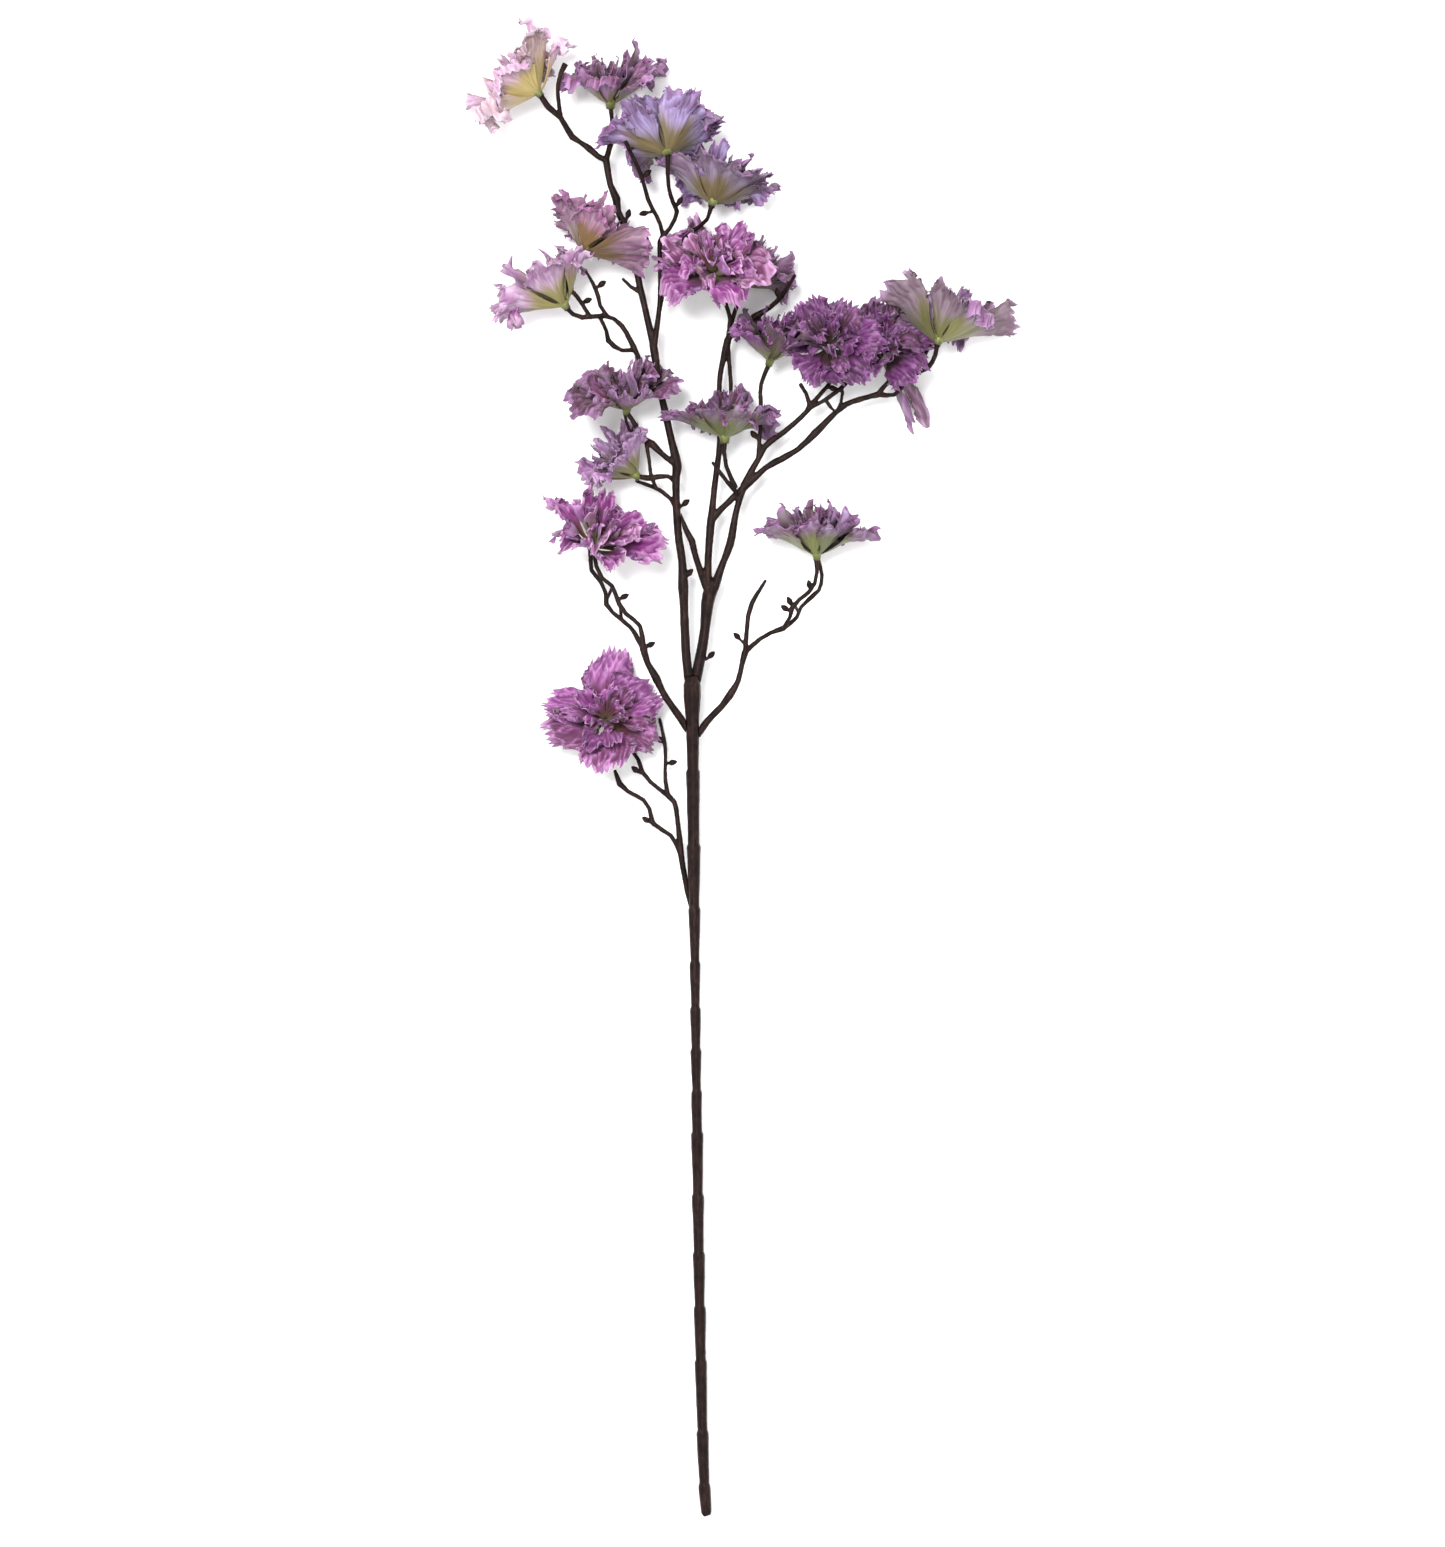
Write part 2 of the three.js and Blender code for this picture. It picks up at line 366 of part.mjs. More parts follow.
// A ring of petals as one lobed, ruffled bowl. Its lower and upper skins are a petal's thickness apart.
function whorl(bloom, skin, segments, lobe, grow) {
  const half = PETAL_THICKNESS / 2 + grow;
  const rim = skin.length - 1;
  const lower = skin.map(([r, h], i) => [r + (i === rim ? grow : 0), h - half]);
  const upper = skin.map(([r, h], i) => [r + (i === rim ? grow : 0), h + half]).reverse();
  const geometry = lathe([...lower, ...upper], segments);
  const reach = skin[rim][0];
  const position = geometry.attributes.position;
  for (let i = 0; i < position.count; i++) {
    const x = position.getX(i);
    const z = position.getZ(i);
    const share = Math.hypot(x, z) / reach;
    const angle = Math.atan2(z, x);
    const { shrink, lift } = lobe(angle, Math.min(1, share));
    const turned = angle + bloom.turn;
    const radius = Math.hypot(x, z) * shrink;
    position.setXYZ(i, radius * Math.cos(turned), position.getY(i) + lift,
      radius * Math.sin(turned) * bloom.deep);
  }
  return stand(geometry, bloom);
}

function petals(bloom, grow = 0) {
  const { radius, height } = bloom;
  const throat = CALYX_LENGTH + GAP + PETAL_THICKNESS / 2;
  const skin = [[0, throat], [0.22 * radius, throat + 0.1 * height], [0.55 * radius, throat + 0.75 * height],
    [radius, throat + height]];
  const lobe = (angle, share) => {
    const beat = Math.cos(PETAL_COUNT * angle);
    const quick = Math.cos(2 * PETAL_COUNT * angle);
    return {
      shrink: 1 - PETAL_NOTCH * share * share * (beat < -0.5 ? 1 : 0),
      lift: RUFFLE * share * share * quick,
    };
  };
  return whorl(bloom, skin, 4 * PETAL_COUNT, lobe, grow);
}

function innerPetals(bloom, grow = 0) {
  const { radius, height } = bloom;
  const reach = INNER_SHARE * radius;
  const throat = CALYX_LENGTH + 2 * GAP + 1.5 * PETAL_THICKNESS + 0.15 * height;
  const skin = [[0, throat], [0.45 * reach, throat + 0.45 * height],
    [reach, throat + 0.6 * height + INNER_RISE]];
  const lobe = (angle, share) => {
    const beat = Math.cos(PETAL_COUNT * angle);
    return { shrink: 1 - 0.3 * share * (beat < 0 ? 1 : 0), lift: 0.5 * RUFFLE * share * beat };
  };
  return whorl(bloom, skin, 2 * PETAL_COUNT, lobe, grow);
}

// ---- The spray ----
// Each piece is cut back by the clearance of the pieces made before it, and flattened where it meets the surface.
const GROUND_DEPTH = 100;
const groundBox = new THREE.BoxGeometry(4 * STEM_LENGTH, 4 * STEM_LENGTH, GROUND_DEPTH);
groundBox.translate(0, 0, -FORK_HEIGHT - GROUND_DEPTH / 2);
const ground = solidOf(closed(groundBox));

const spray = new THREE.Group();
const placed = [];

function place(name, material, shape) {
  const whole = shape();
  const reach = whole.boundingBox();
  const near = placed.filter(({ box }) =>
    [0, 1, 2].every((k) => box.min[k] <= reach.max[k] && box.max[k] >= reach.min[k]));
  const cut = near.reduce((piece, { clearance }) => piece.subtract(clearance), whole.subtract(ground));
  spray.add(meshOf(name, largest(cut), material));
  const clearance = shape(GAP);
  placed.push({ clearance, box: clearance.boundingBox() });
}

place("main_stem", BARK, stem);
for (const [name, twigs] of Object.entries(SPRIGS)) {
  place(name, BARK, (grow) => sprig(twigs, grow));
}

const blooms = Object.values(SPRIGS).flat().filter(({ bears }) => bears).map(({ route, bears }) => {
  const foot = headPoint(route[route.length - 1]);
  return { ...bears, foot: foot.addScaledVector(new THREE.Vector3(...bears.face).normalize(), -PLUG) };
});

for (const bloom of blooms) place("calyx_" + bloom.place, GREEN, (grow) => calyx(bloom, grow));
for (const bloom of blooms) place("petals_" + bloom.place, TINTS[bloom.tint], (grow) => petals(bloom, grow));
for (const bloom of blooms) {
  place("inner_petals_" + bloom.place, TINTS[bloom.tint], (grow) => innerPetals(bloom, grow));
}

const box = new THREE.Box3().setFromObject(spray);
const middle = box.getCenter(new THREE.Vector3());
spray.position.set(-middle.x, -middle.y, -box.min.z);

export default spray;
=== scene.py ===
import json
import math
import random

import bmesh
import bpy
from mathutils import Matrix, Vector, noise
from mathutils.bvhtree import BVHTree


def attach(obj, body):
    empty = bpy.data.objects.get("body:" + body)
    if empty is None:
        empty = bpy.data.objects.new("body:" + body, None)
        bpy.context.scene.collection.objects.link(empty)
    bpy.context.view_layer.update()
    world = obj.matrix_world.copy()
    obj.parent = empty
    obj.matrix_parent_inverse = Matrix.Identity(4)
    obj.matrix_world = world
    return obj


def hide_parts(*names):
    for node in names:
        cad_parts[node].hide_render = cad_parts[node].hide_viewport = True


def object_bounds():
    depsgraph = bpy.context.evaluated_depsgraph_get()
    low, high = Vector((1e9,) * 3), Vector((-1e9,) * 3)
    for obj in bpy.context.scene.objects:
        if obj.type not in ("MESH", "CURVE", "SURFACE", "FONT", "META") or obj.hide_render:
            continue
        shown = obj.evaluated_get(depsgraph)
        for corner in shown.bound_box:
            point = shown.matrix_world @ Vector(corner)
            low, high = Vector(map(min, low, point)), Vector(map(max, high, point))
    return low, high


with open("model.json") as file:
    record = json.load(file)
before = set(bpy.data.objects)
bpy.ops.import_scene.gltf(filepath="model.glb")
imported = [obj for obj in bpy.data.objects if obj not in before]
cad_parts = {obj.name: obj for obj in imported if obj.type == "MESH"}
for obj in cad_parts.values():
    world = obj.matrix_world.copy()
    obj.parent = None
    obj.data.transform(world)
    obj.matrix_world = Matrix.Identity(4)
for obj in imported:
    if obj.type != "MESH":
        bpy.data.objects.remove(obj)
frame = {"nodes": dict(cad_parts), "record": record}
cad_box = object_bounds()
record = frame["record"]
MM = 0.001

# ---- Table, light and camera ----
# The spray lies on a plain white sheet. Large soft lamps stand round it, and the camera looks
# straight down from far above, with the cut end at the foot of the frame.
lowest = Vector(cad_box[0])
FRAME_HEIGHT = 773.5 * MM
AIM = Vector((-5.8 * MM, -0.2 * MM, 22 * MM))
CAMERA_RISE = 3.2
SENSOR = 36.0
SHEET_HALF = 3
LAMPS_AIM = (0, 0.1, 0)

camera_data = bpy.data.cameras.new("camera")
camera_data.sensor_width = SENSOR
camera_data.lens = SENSOR * CAMERA_RISE / FRAME_HEIGHT
camera_data.clip_end = 20
camera = bpy.data.objects.new("camera", camera_data)
camera.location = AIM + Vector((0, 0, CAMERA_RISE))
bpy.context.scene.collection.objects.link(camera)
bpy.context.scene.camera = camera
bpy.context.scene.view_settings.view_transform = "Standard"
bpy.context.scene.view_settings.look = "None"

sheet_mesh = bpy.data.meshes.new("table_sheet")
bm = bmesh.new()
bmesh.ops.create_grid(
    bm, x_segments=1, y_segments=1, size=SHEET_HALF, matrix=Matrix.Translation((0, 0, lowest.z))
)
bm.to_mesh(sheet_mesh)
bm.free()
table_sheet = bpy.data.objects.new("table_sheet", sheet_mesh)
bpy.context.scene.collection.objects.link(table_sheet)
paper = bpy.data.materials.new("table_paper")
paper.use_nodes = True
paper.node_tree.nodes["Principled BSDF"].inputs["Base Color"].default_value = (0.97, 0.97, 0.97, 1)
paper.node_tree.nodes["Principled BSDF"].inputs["Roughness"].default_value = 0.9
sheet_mesh.materials.append(paper)

world = bpy.data.worlds.new("studio")
world.use_nodes = True
world.node_tree.nodes["Background"].inputs["Color"].default_value = (1, 1, 1, 1)
world.node_tree.nodes["Background"].inputs["Strength"].default_value = 0.98
bpy.context.scene.world = world

for name, place, watts, size in (
    ("key_lamp", (-0.5, 0.65, 2.4), 66, 0.7),
    ("fill_lamp", (1.2, 0.3, 2.0), 12, 1.8),
    ("foot_lamp", (0.1, -1.3, 2.0), 14, 1.8),
):
    lamp_data = bpy.data.lights.new(name, "AREA")
    lamp_data.energy = watts
    lamp_data.size = size
    lamp = bpy.data.objects.new(name, lamp_data)
    lamp.location = place
    lamp.rotation_euler = (Vector(LAMPS_AIM) - lamp.location).to_track_quat("-Z", "Y").to_euler()
    bpy.context.scene.collection.objects.link(lamp)

# ---- Stem and sprigs ----
# One stiff jointed stem and five sprigs of forked twigs, moulded in dark brown plastic over wire.
# The skin is smooth between the joints, faintly ribbed along its length and rubbed lighter on high spots.
SKIN_CELL = 0.42 * MM
SKIN_SOFTENING = 4
SKIN_SWELL = 0.1 * MM
LUMP_SIZE = 3.4 * MM
LUMP_RISE = 0.16 * MM
GRAIN_SIZE = 0.9 * MM
GRAIN_RISE = 0.05 * MM
LUMP_STRETCH = 0.35
RUB_ON_LUMPS = 0.55
RUB_ON_GRAIN = 0.5


def paint(code):
    """A colour code such as 3a2b27 as linear red, green and blue."""
    parts = [int(code[i : i + 2], 16) / 255 for i in (0, 2, 4)]
    return tuple(p / 12.92 if p <= 0.04045 else ((p + 0.055) / 1.055) ** 2.4 for p in parts)


def link(tree, source, output, target, field):
    tree.links.new(source.outputs[output], target.inputs[field])


bark = bpy.data.materials.new("moulded_bark")
bark.use_nodes = True
tree = bark.node_tree
skin = tree.nodes["Principled BSDF"]
skin.inputs["Roughness"].default_value = 0.5
skin.inputs["Specular IOR Level"].default_value = 0.12
place_on_piece = tree.nodes.new("ShaderNodeTexCoord")
rub = tree.nodes.new("ShaderNodeAttribute")
rub.attribute_name = "rub"
mottle = tree.nodes.new("ShaderNodeTexNoise")
mottle.inputs["Scale"].default_value = 260
mottle.inputs["Detail"].default_value = 5
link(tree, place_on_piece, "Object", mottle, "Vector")
mottle_ramp = tree.nodes.new("ShaderNodeValToRGB")
mottle_ramp.color_ramp.elements[0].position = 0.32
mottle_ramp.color_ramp.elements[0].color = (*paint("0d0606"), 1)
mottle_ramp.color_ramp.elements[1].position = 0.72
mottle_ramp.color_ramp.elements[1].color = (*paint("221310"), 1)
link(tree, mottle, "Fac", mottle_ramp, "Fac")
lighten = tree.nodes.new("ShaderNodeMix")
lighten.data_type = "RGBA"
link(tree, rub, "Fac", lighten, "Factor")
link(tree, mottle_ramp, "Color", lighten, "A")
lighten.inputs["B"].default_value = (*paint("3a2620"), 1)
link(tree, lighten, "Result", skin, "Base Color")
grain = tree.nodes.new("ShaderNodeTexNoise")
grain.inputs["Scale"].default_value = 1400
grain.inputs["Detail"].default_value = 3
link(tree, place_on_piece, "Object", grain, "Vector")
grain_bump = tree.nodes.new("ShaderNodeBump")
grain_bump.inputs["Strength"].default_value = 0.35
grain_bump.inputs["Distance"].default_value = 0.0002
link(tree, grain, "Fac", grain_bump, "Height")
link(tree, grain_bump, "Normal", skin, "Normal")

STEM_NODES = [row["node"] for row in record["subparts"] if row["material_slot"] == "bark"]
stem_skins = {}


def moulded_skin(node):
    """A fine skin over a CAD stem: its facets are melted together, softened, then given lumps and grain."""
    rough = bpy.data.objects.new(node + "_core", frame["nodes"][node].data.copy())
    bpy.context.scene.collection.objects.link(rough)
    bm = bmesh.new()
    bm.from_mesh(rough.data)
    bmesh.ops.remove_doubles(bm, verts=bm.verts, dist=1e-6)
    bm.to_mesh(rough.data)
    bm.free()
    melt = rough.modifiers.new("melt", "REMESH")
    melt.mode = "VOXEL"
    melt.voxel_size = SKIN_CELL
    graph = bpy.context.evaluated_depsgraph_get()
    mesh = bpy.data.meshes.new_from_object(rough.evaluated_get(graph))
    core_mesh = rough.data
    bpy.data.objects.remove(rough)
    bpy.data.meshes.remove(core_mesh)
    bm = bmesh.new()
    bm.from_mesh(mesh)
    for _ in range(SKIN_SOFTENING):
        bmesh.ops.smooth_vert(
            bm, verts=bm.verts, factor=0.5, use_axis_x=True, use_axis_y=True, use_axis_z=True
        )
    bm.normal_update()
    rub_layer = bm.verts.layers.float.new("rub")
    for vert in bm.verts:
        along = Vector((vert.co.x, vert.co.y * LUMP_STRETCH, vert.co.z))
        lump = noise.noise(along / LUMP_SIZE)
        fine = noise.noise(along / GRAIN_SIZE)
        vert[rub_layer] = max(0.0, min(1.0, RUB_ON_LUMPS * lump + RUB_ON_GRAIN * fine))
        vert.co += vert.normal * (SKIN_SWELL + LUMP_RISE * lump + GRAIN_RISE * fine)
        vert.co.z = max(vert.co.z, lowest.z)
    bm.to_mesh(mesh)
    stem_skins[node] = BVHTree.FromBMesh(bm)
    bm.free()
    mesh.materials.clear()
    mesh.materials.append(bark)
    mesh.shade_smooth()
    return mesh


for node in STEM_NODES:
    stem = bpy.data.objects.new(node + "_skin", moulded_skin(node))
    bpy.context.scene.collection.objects.link(stem)
    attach(stem, "root")
    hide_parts(node)

# ---- Calyxes ----
# Each blossom sits in a small green cup with five pointed lobes, pushed over the end of its stalk. The
# cup is satin plastic, darker at its foot, with a rib up the middle of every lobe.
CUP_WALL = 0.35 * MM
CUP_LOBES = 5
CUP_ROWS = 8
COLUMNS_A_LOBE = 6
CUP_FLARE = 1.7
LOBES_FROM = 0.7
LOBE_SPREAD = 0.4
CUP_SHARE = 0.9
CUP_FOOT = 1.75 * MM
CUP_MOUTH = 2.75 * MM
LOBE_RISE = 0.42
RIB_RISE = 0.22 * MM


def node_points(node):
    return [vert.co.copy() for vert in frame["nodes"][node].data.vertices]


def middle(points):
    return sum(points, Vector()) / len(points)


def stand_of(place):
    """Where a blossom stands: the foot of its calyx, its axis, and two directions across it."""
    cup = node_points("calyx_" + place)
    heart = middle(cup)
    axis = (middle(node_points("inner_petals_" + place)) - heart).normalized()
    reaches = [(point - heart).dot(axis) for point in cup]
    side = axis.cross(Vector((0, 0, 1))).normalized()
    return {
        "foot": heart + axis * min(reaches),
        "length": max(reaches) - min(reaches),
        "axis": axis,
        "side": side,
        "deep": side.cross(axis),
    }


PLACES = [row["node"][len("calyx_") :] for row in record["subparts"] if row["node"].startswith("calyx_")]
stands = {place: stand_of(place) for place in PLACES}

green = bpy.data.materials.new("calyx_green")
green.use_nodes = True
tree = green.node_tree
cup_skin = tree.nodes["Principled BSDF"]
cup_skin.inputs["Roughness"].default_value = 0.5
height_mark = tree.nodes.new("ShaderNodeAttribute")
height_mark.attribute_name = "rise"
green_ramp = tree.nodes.new("ShaderNodeValToRGB")
green_ramp.color_ramp.elements[0].position = 0.05
green_ramp.color_ramp.elements[0].color = (*paint("3f3a1e"), 1)
green_ramp.color_ramp.elements[1].position = 0.95
green_ramp.color_ramp.elements[1].color = (*paint("808c3c"), 1)
link(tree, height_mark, "Fac", green_ramp, "Fac")
place_on_cup = tree.nodes.new("ShaderNodeTexCoord")
cup_mottle = tree.nodes.new("ShaderNodeTexNoise")
cup_mottle.inputs["Scale"].default_value = 420
link(tree, place_on_cup, "Object", cup_mottle, "Vector")
cup_tone = tree.nodes.new("ShaderNodeMix")
cup_tone.data_type = "RGBA"
cup_tone.blend_type = "MULTIPLY"
cup_tone.inputs["Factor"].default_value = 0.5
link(tree, green_ramp, "Color", cup_tone, "A")
link(tree, cup_mottle, "Fac", cup_tone, "B")
link(tree, cup_tone, "Result", cup_skin, "Base Color")
cup_bump = tree.nodes.new("ShaderNodeBump")
cup_bump.inputs["Strength"].default_value = 0.3
cup_bump.inputs["Distance"].default_value = 0.0002
link(tree, cup_mottle, "Fac", cup_bump, "Height")
link(tree, cup_bump, "Normal", cup_skin, "Normal")

for place in PLACES:
    stand = stands[place]
    bm = bmesh.new()
    bmesh.ops.create_grid(bm, x_segments=COLUMNS_A_LOBE * CUP_LOBES, y_segments=CUP_ROWS, size=1)
    rise_layer = bm.verts.layers.float.new("rise")
    for vert in bm.verts:
        angle = math.pi * vert.co.x
        share = (vert.co.y + 1) / 2
        lobe = 0.5 + 0.5 * math.cos(CUP_LOBES * angle)
        radius = CUP_FOOT + (CUP_MOUTH - CUP_FOOT) * share**CUP_FLARE + RIB_RISE * lobe**4 * share
        radius += LOBE_SPREAD * CUP_MOUTH * lobe * max(0, share - LOBES_FROM)
        height = stand["length"] * share * (CUP_SHARE + LOBE_RISE * lobe**1.5 * share**3)
        around = stand["side"] * math.cos(angle) + stand["deep"] * math.sin(angle)
        vert.co = stand["foot"] + around * radius + stand["axis"] * height
        vert[rise_layer] = share
    bmesh.ops.remove_doubles(bm, verts=bm.verts, dist=0.02 * MM)
    bmesh.ops.recalc_face_normals(bm, faces=bm.faces)
    cup_mesh = bpy.data.meshes.new("calyx_cup_" + place)
    bm.to_mesh(cup_mesh)
    bm.free()
    cup_mesh.shade_smooth()
    cup_mesh.materials.append(green)
    cup_piece = bpy.data.objects.new("calyx_cup_" + place, cup_mesh)
    bpy.context.scene.collection.objects.link(cup_piece)
    wall = cup_piece.modifiers.new("wall", "SOLIDIFY")
    wall.thickness = CUP_WALL
    wall.offset = -1
    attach(cup_piece, "root")
    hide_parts("calyx_" + place)

# ---- Outer petals ----
# Six broad petals of thin pressed cloth ring each blossom. A petal has a narrow green claw, a fan that
# ruffles towards its edge, and an edge pinked into sharp uneven teeth. Each blossom was dyed by hand.
PETAL_THICKNESS = 0.28 * MM
OUTER_COUNT = 6
CLAW_WIDTH = 1.1 * MM
CLAW_RING = 0.9 * MM
CLEAR_OF_TWIGS = 0.5 * MM
ABOVE_TABLE = 0.25 * MM
TWIG_SEARCH = 4 * MM
REACH_SECTOR = math.radians(26)

# the pinking shears' teeth: widths in columns, depths as shares of a full tooth, and the odd deep cut
TOOTH_WIDTHS = (3, 4, 4, 5, 6)
SHALLOWEST_TOOTH = 0.45
DEEP_CUT = 1.7
DEEP_CUT_CHANCE = 0.2

# where along a petal, from 0 at its root to 1 at its edge, each change begins and ends
CLOSER_ROWS = 1.25
FULL_WIDTH_AT = 0.78
TAPER_FROM = 0.55
SIDE_TEETH_FROM = 0.5
EDGE_TEETH_FROM = 0.74
LIP_PULL_FROM = 0.76
LIP_FROM = 0.68
GATHER_FROM = 0.3
GATHER_TO = 0.75

# how the end of a petal is rounded and scalloped, as shares of its length
END_ROUNDING = 0.2
END_CURVE = 2.4
SCALLOP_DEPTH = 0.06
END_ARC = 0.3
LIP_PULL = 0.1

# how the cloth waves and stands: its waves in radians and their heights, then the curve of its rise
BROAD_WAVE, BROAD_HEIGHT = 3.1, 0.7
FINE_WAVE, FINE_HEIGHT = 7.5, 0.5
CRUMPLE_HEIGHT = 1.1
RISE_CURVE = 1.35
CREASE_SHARPNESS = 3.4
CREASE_STRETCH = 0.45

# how far each bend lifts or drops the cloth, as shares of the petal's length
CURL_LIFT = 0.16
DROOP_FALL = 0.18
TWIST_LIFT = 0.5
FOLD_LIFT = 0.22
LIP_ROLL = 0.2

# how much one petal differs from the next
FULL_TURN = 6.3
CURLS = (-0.5, 1.0)
DROOPS = (-0.7, 1.0)
LEANS = (-0.2, 0.2)
TAPERS = (0.05, 0.42)
FOLDS = (-0.5, 0.8)
LIPS = (0.0, 0.0, 0.6, 1.0)
TWISTS = (-0.3, 0.3)
STAIN_SHIFTS = (-0.08, 0.16)
GREEN_SHIFTS = (-0.12, 0.1)
TONES = (0.78, 1.16)

# how the dye runs: the soft widths of its borders; then painted shade: how much the back takes the darker limb
# colour in its hollows, and how much darker a hollow is than a crest
FACE_BORDER = 0.14
BACK_BORDER = 0.18
STAIN_WANDER = 0.12
THROAT = (0.12, 0.3)
PALE_EDGE = (0.8, 1.02)
PALE_BACK_EDGE = (0.86, 1.0)
EDGE_LIGHT = 0.7
BACK_EDGE_LIGHT = 0.8
RIB_LENGTH = 0.16
RIB_START = 0.06
# painted shade: how far the back takes the darker limb colour in the hollows of the creases
BACK_HOLLOW_SHADE = 0.7
GREENER_CHANCE = 0.3
# painted light: the first lifts every colour so the crests come out lighter, the second is painted shade in the
# hollows of the creases
CREST_SHADE = 1.16
HOLLOW_SHADE = 0.36

# how strong each dye is, then its claw, throat, limb and edge colours on the face, and claw and limb on
# the back
DYES = {
    "blush": (0.62, "b9a05a", "c8a070", "e0a8d0", "f6dcee", "b8a468", "e8c6e0"),
    "rose": (0.5, "8f7a40", "7a4642", "ae5ca4", "efc6e8", "948a50", "e0c0e0"),
    "orchid": (0.55, "6a4e28", "6e3850", "a44c9e", "e09cdc", "828038", "ae78b8"),
    "magenta": (0.58, "6e5428", "6a3240", "9e3e94", "eeb4e8", "8a8040", "b07cb8"),
    "mauve": (0.46, "665030", "5e3438", "904c7a", "ca94cc", "74623a", "b48aba"),
    "ink": (0.57, "62502e", "563038", "804880", "b47ebc", "6a5a34", "b2a0d2"),
    "gold": (0.53, "77582a", "6a3a36", "984c84", "ce8ac2", "76582f", "b490a6"),
    "plum": (0.46, "665230", "4e2a2c", "843a70", "c286c4", "727832", "c0a2ce"),
    "violet": (0.46, "5e4c28", "4e2838", "782e76", "c078c2", "6e6a30", "945c94"),
    "haze": (0.52, "80703c", "704a4a", "a064a0", "d2a6d2", "78743c", "c6a6ce"),
}
DYE_OF = {
    "lower_left": "orchid", "left_low": "magenta", "right_low": "plum", "left_small": "haze",
    "left_mid": "mauve", "left_outer": "rose", "left_upper": "gold", "top_outer": "blush",
    "top_back": "mauve", "top_front": "ink", "top_right": "ink", "centre_face": "magenta",
    "centre_side": "mauve", "centre_flat": "plum", "cluster_left": "violet", "cluster_face": "violet",
    "cluster_right": "violet", "right_outer": "haze",
}
# how much narrower and how much longer than usual the petals of some blossoms are, and the flat ones
NARROW = {
    "left_low": 0.68, "left_outer": 0.85, "left_mid": 0.85, "left_small": 0.8, "left_upper": 0.76,
    "top_front": 0.84, "top_right": 0.88, "right_outer": 0.86,
}
SPREAD = {"lower_left": 1.14, "top_back": 1.08, "left_small": 1.1, "right_outer": 1.14, "left_upper": 0.95}
FLAT = ("right_low", "centre_flat")
# two narrow paler petals hang below one blossom: how far each reaches from its root, and its half width
HANGING_DYE = "haze"
HANGING = {
    "cluster_right": (
        ((28 * MM, -30 * MM, -6 * MM), 3.2 * MM),
        ((20 * MM, -33 * MM, -6 * MM), 1.8 * MM),
    )
}


def blend(a, b, share):
    share = max(0.0, min(1.0, share))
    return tuple(p + (q - p) * share for p, q in zip(a, b))


def smooth_step(low, high, value):
    share = max(0.0, min(1.0, (value - low) / (high - low)))
    return share * share * (3 - 2 * share)


def petal_cloth(name, layer, gloss):
    """Pressed cloth whose colour is read from an attribute of the piece, the dye with its painted highlights
    and painted shade, with veins that run out along each petal.
    """
    cloth = bpy.data.materials.new(name)
    cloth.use_nodes = True
    tree = cloth.node_tree
    face = tree.nodes["Principled BSDF"]
    face.inputs["Roughness"].default_value = gloss
    face.inputs["Sheen Weight"].default_value = 0.12
    face.inputs["Sheen Roughness"].default_value = 0.5
    face.inputs["Specular IOR Level"].default_value = 0.4
    # the colour attribute holds the dye together with painted highlights and painted shade
    dye_and_painted_light = tree.nodes.new("ShaderNodeAttribute")
    dye_and_painted_light.attribute_name = layer
    spread = tree.nodes.new("ShaderNodeUVMap")
    spread.uv_map = "petal"
    stretch = tree.nodes.new("ShaderNodeMapping")
    stretch.inputs["Scale"].default_value = (20, 3, 1)
    link(tree, spread, "UV", stretch, "Vector")
    veins = tree.nodes.new("ShaderNodeTexNoise")
    veins.inputs["Scale"].default_value = 1
    veins.inputs["Detail"].default_value = 5
    link(tree, stretch, "Vector", veins, "Vector")
    vein_range = tree.nodes.new("ShaderNodeMapRange")
    vein_range.inputs["From Min"].default_value = 0.3
    vein_range.inputs["From Max"].default_value = 0.7
    vein_range.inputs["To Min"].default_value = 0.42
    vein_range.inputs["To Max"].default_value = 1.55
    link(tree, veins, "Fac", vein_range, "Value")
    streak = tree.nodes.new("ShaderNodeMix")
    streak.data_type = "RGBA"
    streak.blend_type = "MULTIPLY"
    streak.inputs["Factor"].default_value = 0.5
    link(tree, dye_and_painted_light, "Color", streak, "A")
    link(tree, vein_range, "Result", streak, "B")
    link(tree, streak, "Result", face, "Base Color")
    vein_bump = tree.nodes.new("ShaderNodeBump")
    vein_bump.inputs["Strength"].default_value = 0.6
    vein_bump.inputs["Distance"].default_value = 0.0004
    link(tree, veins, "Fac", vein_bump, "Height")
    link(tree, vein_bump, "Normal", face, "Normal")
    return cloth


petal_face = petal_cloth("petal_face", "dye_and_painted_light", 0.45)
petal_back = petal_cloth("petal_back", "back_dye_and_painted_light", 0.55)


def clear_of_stems(point, margin):
    """Moves a point of a petal out of a stem or off its skin."""
    for skin_tree in stem_skins.values():
        spot, normal, _, distance = skin_tree.find_nearest(point, TWIG_SEARCH)
        if spot is None:
            continue
        inside = (point - spot).dot(normal) < 0
        if inside or distance < margin:
            point = spot + normal * margin
    return point


def pinked_edge(columns, draw):
    """How deep the edge is cut at each column: pointed teeth of uneven width and depth."""
    cuts = [0.0] * (columns + 1)
    start = -draw.randint(0, 2)
    while start <= columns:
        width = draw.choice(TOOTH_WIDTHS)
        depth = draw.uniform(SHALLOWEST_TOOTH, 1.0) * (DEEP_CUT if draw.random() < DEEP_CUT_CHANCE else 1.0)
        for step in range(width):
            if 0 <= start + step <= columns:
                cuts[start + step] = depth * abs(1 - 2 * step / width)
        start += width
    return cuts


